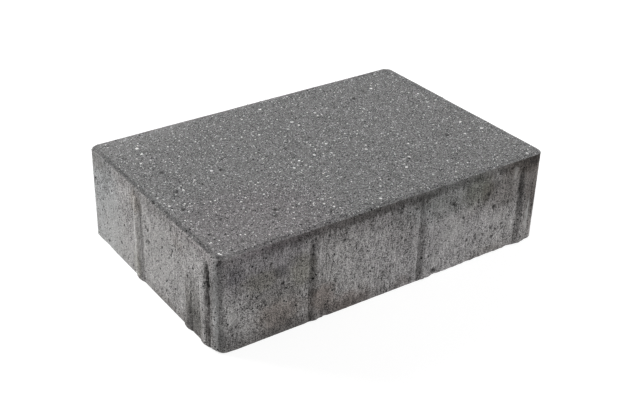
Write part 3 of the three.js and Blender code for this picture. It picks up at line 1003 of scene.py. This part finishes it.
# Painted shade in the relief's open pores and hollows, where little light gets in.
pore_shade = add(tree, "ShaderNodeMath", {0: told["open_pore"], 1: PORE_SHADE}, operation="MULTIPLY")
hollow_shade = add(tree, "ShaderNodeMath", {0: told["hollow"], 1: HOLLOW_SHADE}, operation="MULTIPLY")
for share, over, blend in [
    (pit, "#222121", "MIX"),
    (hole, "#161616", "MIX"),
    (torn_and_shaded, "#a8a6a4", "MULTIPLY"),
    (told["pressed"], "#dcdcdc", "MULTIPLY"),
    (pore_shade, "#343332", "MIX"),
    (hollow_shade, "#343332", "MIX"),
]:
    colour = add(tree, "ShaderNodeMix", {MIX_FACTOR: share, MIX_A: colour, MIX_B: linear(over)},
                 data_type="RGBA", blend_type=blend)

# %% Fine bump, in millimetres, and the shader
BUMP_SAND = 0.22
BUMP_PORE = 0.5
BUMP_SCRATCH = 0.5
fine = add(tree, "ShaderNodeMath", {0: from_grain, 1: -BUMP_SAND}, operation="MULTIPLY")
fine = add(tree, "ShaderNodeMath", {0: pit, 1: -BUMP_PORE, 2: fine}, operation="MULTIPLY_ADD")
fine = add(tree, "ShaderNodeMath", {0: tone, 1: BUMP_SCRATCH, 2: fine}, operation="MULTIPLY_ADD")
bump = add(tree, "ShaderNodeBump", {"Height": fine, "Strength": 1.0, "Distance": MM})
cement = add(tree, "ShaderNodeBsdfPrincipled", {
    "Base Color": colour, "Normal": bump, "Roughness": 0.92, "IOR": 1.5, "Specular IOR Level": 0.35})
add(tree, "ShaderNodeOutputMaterial", {"Surface": cement})
print(concrete.name, "nodes:", len(tree.nodes))

# %% Cut the relief
stone = run_tree("pressed_stone", skin, relief, RELIEF, concrete)

# %% [markdown]
# ## Sand and crushed quartz on the wearing face
#
# The facing mortar is pressed flat, and its coarsest sand stands up to the plate. A few
# grains are white quartz, broken sharp, and they glint. Geometry Nodes scatter both over the
# top: points at random on the face, none closer than a set distance, a 20-sided chip on each,
# turned and stretched by chance, sunk to its waist and pressed level with the face. Real
# meshes catch the light at any distance, where a painted speck would stay flat.

# %% The tree that scatters chips: only the top takes them, and the largest stay off its rim
CHIPS = ["Density", "Apart", "Smallest", "Largest", "Rarity", "Sink", "Rim Kept Clear", "Seed"]
FACES_UP = 0.5

scatter, chip = new_tree("scattered_chips", CHIPS)
normal = add(scatter, "GeometryNodeInputNormal")
normal_z = add(scatter, "ShaderNodeSeparateXYZ", {0: normal}).outputs["Z"]
up = add(scatter, "FunctionNodeCompare", {"A": normal_z, "B": FACES_UP}, data_type="FLOAT",
         operation="GREATER_THAN")
inset = add(scatter, "GeometryNodeInputNamedAttribute", {"Name": "inset"}, data_type="FLOAT")
clear = add(scatter, "FunctionNodeCompare", {"A": inset, "B": chip["Rim Kept Clear"]}, data_type="FLOAT",
            operation="GREATER_THAN")
up = add(scatter, "FunctionNodeBooleanMath", {0: up, 1: clear}, operation="AND")
seed = add(scatter, "FunctionNodeFloatToInt", {0: chip["Seed"]})
spots = add(scatter, "GeometryNodeDistributePointsOnFaces", {
    "Mesh": chip["Geometry"], "Selection": up, "Density Max": chip["Density"],
    "Distance Min": chip["Apart"], "Seed": seed}, distribute_method="POISSON")

# %% Many small chips and few large ones: a random number to the power of the rarity
FLATTEST, FULLEST = (0.7, 0.7, 0.55), (1.3, 1.0, 0.9)
WHOLE_TURN = (math.tau, math.tau, math.tau)
CHIP_RADIUS = 0.5

draw = add(scatter, "FunctionNodeRandomValue", {"Seed": seed}, data_type="FLOAT")
rare = add(scatter, "ShaderNodeMath", {0: draw, 1: chip["Rarity"]}, operation="POWER")
chip_size = add(scatter, "ShaderNodeMapRange", {
    "Value": rare, "To Min": chip["Smallest"], "To Max": chip["Largest"]})
shape = add(scatter, "FunctionNodeRandomValue", {"Min": FLATTEST, "Max": FULLEST, "Seed": seed},
            data_type="FLOAT_VECTOR")
chip_scale = add(scatter, "ShaderNodeVectorMath", {0: shape, "Scale": chip_size}, operation="SCALE")
spin = add(scatter, "FunctionNodeRandomValue", {"Min": (0, 0, 0), "Max": WHOLE_TURN, "Seed": seed},
           data_type="FLOAT_VECTOR")
spin = add(scatter, "FunctionNodeEulerToRotation", {0: spin})
solid_chip = add(scatter, "GeometryNodeMeshIcoSphere", {"Radius": CHIP_RADIUS, "Subdivisions": 1})
placed = add(scatter, "GeometryNodeInstanceOnPoints", {
    "Points": spots, "Instance": solid_chip, "Rotation": spin, "Scale": chip_scale})
shade = add(scatter, "FunctionNodeRandomValue", {"Seed": seed}, data_type="FLOAT")
shaded = add(scatter, "GeometryNodeStoreNamedAttribute", {
    "Geometry": placed, "Name": "shade", "Value": shade}, data_type="FLOAT", domain="INSTANCE")
real = add(scatter, "GeometryNodeRealizeInstances", {"Geometry": shaded})

# %% Sunk, and pressed level: nothing stands above the plate, which lies on the face
PLATE = (1.0, 1.0, stone_high.z)

sink = add(scatter, "ShaderNodeMath", {0: chip["Sink"], 1: -1.0}, operation="MULTIPLY")
sunk = add(scatter, "ShaderNodeCombineXYZ", {2: sink})
lowered = add(scatter, "GeometryNodeSetPosition", {"Geometry": real, "Offset": sunk})
chip_place = add(scatter, "GeometryNodeInputPosition")
level = add(scatter, "ShaderNodeVectorMath", {0: chip_place, 1: PLATE}, operation="MINIMUM")
levelled = add(scatter, "GeometryNodeSetPosition", {"Geometry": lowered, "Position": level})
finish_tree(scatter, levelled, chip["Material"])

# %% [markdown]
# Quartz is a hard, glassy white mineral. A broken grain is clear to milky and glints from its
# facets and from cracks inside it. Its facets are too fine to show, so they are drawn
# coarser, as cells of 1.2 mm whose coat leans at random. The coat's index is higher than the
# 1.54 of quartz, and stands for the cracks.

# %% Crushed quartz
FACET_SIZE = 1.2
FACET_GENTLEST, FACET_STEEPEST = 0.7, 1.5
FLAT = (1.0, 1.0, 0.0)
quartz, tree = new_material("crushed_quartz")
place = places_in_mm(tree)
facets = add(tree, "ShaderNodeTexVoronoi", {"Vector": place, "Scale": 1 / FACET_SIZE}).outputs["Color"]
tilt = add(tree, "ShaderNodeSeparateColor", {0: facets}).outputs["Blue"]
tilt = add(tree, "ShaderNodeMapRange", {"Value": tilt, "To Min": FACET_GENTLEST, "To Max": FACET_STEEPEST})
aside = add(tree, "ShaderNodeVectorMath", {0: facets, 1: NOISE_MIDDLE}, operation="SUBTRACT")
aside = add(tree, "ShaderNodeVectorMath", {0: aside, 1: FLAT}, operation="MULTIPLY")
aside = add(tree, "ShaderNodeVectorMath", {0: aside}, operation="NORMALIZE")
aside = add(tree, "ShaderNodeVectorMath", {0: aside, "Scale": tilt}, operation="SCALE")
way = add(tree, "ShaderNodeNewGeometry").outputs["Normal"]
facets = add(tree, "ShaderNodeVectorMath", {0: aside, 1: way}, operation="ADD")
facets = add(tree, "ShaderNodeVectorMath", {0: facets}, operation="NORMALIZE")
grain = add(tree, "ShaderNodeBsdfPrincipled", {
    "Base Color": linear("#fcfcfa"), "Roughness": 0.3, "IOR": 1.54,
    "Coat Weight": 1.0, "Coat Roughness": 0.22, "Coat IOR": 1.8, "Coat Normal": facets})
add(tree, "ShaderNodeOutputMaterial", {"Surface": grain})

# %% River sand: grey to buff, and dull, because water rolled its grains round
river_sand, tree = new_material("river_sand")
shade = add(tree, "ShaderNodeAttribute", attribute_name="shade").outputs["Fac"]
sand_colour = add(tree, "ShaderNodeValToRGB", {0: shade})
stops(sand_colour, [(0.0, "#161616"), (0.4, "#5a5a59"), (1.0, "#999895")])
grain = add(tree, "ShaderNodeBsdfPrincipled", {"Base Color": sand_colour, "Roughness": 0.8, "IOR": 1.5})
add(tree, "ShaderNodeOutputMaterial", {"Surface": grain})

# %% Scatter them: how many to the square metre, and sizes in metres
COARSE_QUARTZ = {
    "Density": 2400.0, "Apart": 5.0 * MM, "Smallest": 1.8 * MM, "Largest": 3.8 * MM, "Rarity": 3.5,
    "Sink": 0.05 * MM, "Rim Kept Clear": 4.5 * MM, "Seed": SEED + 1.0,
}
FINE_QUARTZ = {
    "Density": 12600.0, "Apart": 3.0 * MM, "Smallest": 1.0 * MM, "Largest": 2.0 * MM, "Rarity": 1.5,
    "Sink": 0.05 * MM, "Rim Kept Clear": 1.5 * MM, "Seed": SEED + 2.0,
}
SAND = {
    "Density": 40000.0, "Apart": 0.3 * MM, "Smallest": 0.6 * MM, "Largest": 1.9 * MM, "Rarity": 4.0,
    "Sink": 0.10 * MM, "Rim Kept Clear": 1.0 * MM, "Seed": SEED + 3.0,
}
coarse_quartz = run_tree("coarse_quartz_grains", stone.data, scatter, COARSE_QUARTZ, quartz)
fine_quartz = run_tree("fine_quartz_grains", stone.data, scatter, FINE_QUARTZ, quartz)
sand_grains = run_tree("sand_grains", stone.data, scatter, SAND, river_sand)

# %% [markdown]
# ## Floor and light
#
# The floor is a plain white sheet. The lamps light it, and a glow lifts it to paper white
# while it keeps the stone's shadow. Only the camera, reflections and clear things see that
# glow, so it adds little light to the stone. Two wide soft boxes light it: the main one
# from behind on the left, which wakes the left end and rakes over the top, and a weaker one
# from the right, which grazes the long front side and shows up its pores. A pale sky fills
# the rest.

# %% Floor
FLOOR_HALF = 4.0
FLOOR_GLOW = 0.80
WHITE = (1, 1, 1, 1)

floor_mesh = bpy.data.meshes.new("floor")
corners = [(-1, -1), (1, -1), (1, 1), (-1, 1)]
floor_mesh.from_pydata([(x * FLOOR_HALF, y * FLOOR_HALF, 0) for x, y in corners], [], [(0, 1, 2, 3)])
floor = bpy.data.objects.new("floor", floor_mesh)
bpy.context.scene.collection.objects.link(floor)

floor_paper, tree = new_material("white_paper")
paper = add(tree, "ShaderNodeBsdfDiffuse", {"Color": linear("#a0a0a0")})
rays = add(tree, "ShaderNodeLightPath").outputs
seen = add(tree, "ShaderNodeMath", {0: rays["Is Camera Ray"], 1: rays["Is Glossy Ray"]}, operation="ADD")
seen = add(tree, "ShaderNodeMath", {0: seen, 1: rays["Is Transmission Ray"]}, operation="ADD")
strength = add(tree, "ShaderNodeMath", {0: seen, 1: FLOOR_GLOW}, operation="MULTIPLY")
glow = add(tree, "ShaderNodeEmission", {"Color": WHITE, "Strength": strength})
lit = add(tree, "ShaderNodeAddShader", {0: paper, 1: glow})
add(tree, "ShaderNodeOutputMaterial", {"Surface": lit})
floor_mesh.materials.append(floor_paper)
print("floor, m:", 2 * FLOOR_HALF)


# %% Light
def soft_box(name, heading, rise, distance, size, power):
    """A square lamp that looks at the stone. Its heading turns from +X round towards +Y."""
    lamp = bpy.data.lights.new(name, "AREA")
    lamp.shape = "SQUARE"
    lamp.size = size
    lamp.energy = power
    holder = bpy.data.objects.new(name, lamp)
    heading, rise = math.radians(heading), math.radians(rise)
    away = Vector((math.cos(heading) * math.cos(rise), math.sin(heading) * math.cos(rise), math.sin(rise)))
    turn = away.to_track_quat("Z", "Y").to_matrix().to_4x4()
    holder.matrix_world = Matrix.Translation(away * distance) @ turn
    bpy.context.scene.collection.objects.link(holder)
    print(name, "size, m:", size, "power, W:", power)


soft_box("main_light", heading=120, rise=22, distance=2.0, size=1.3, power=53)
soft_box("side_light", heading=-27, rise=20, distance=2.0, size=1.1, power=34)

SKY_STRENGTH = 0.28
sky = bpy.data.worlds.new("sky")
sky.use_nodes = True
background = sky.node_tree.nodes["Background"]
background.inputs["Color"].default_value = WHITE
background.inputs["Strength"].default_value = SKY_STRENGTH
bpy.context.scene.world = sky
bpy.context.scene.view_settings.view_transform = "Standard"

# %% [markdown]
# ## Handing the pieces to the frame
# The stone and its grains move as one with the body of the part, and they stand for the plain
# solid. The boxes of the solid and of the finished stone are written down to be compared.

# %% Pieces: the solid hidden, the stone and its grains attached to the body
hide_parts("paving_stone")
for piece in (stone, coarse_quartz, fine_quartz, sand_grains):
    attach(piece, "root")
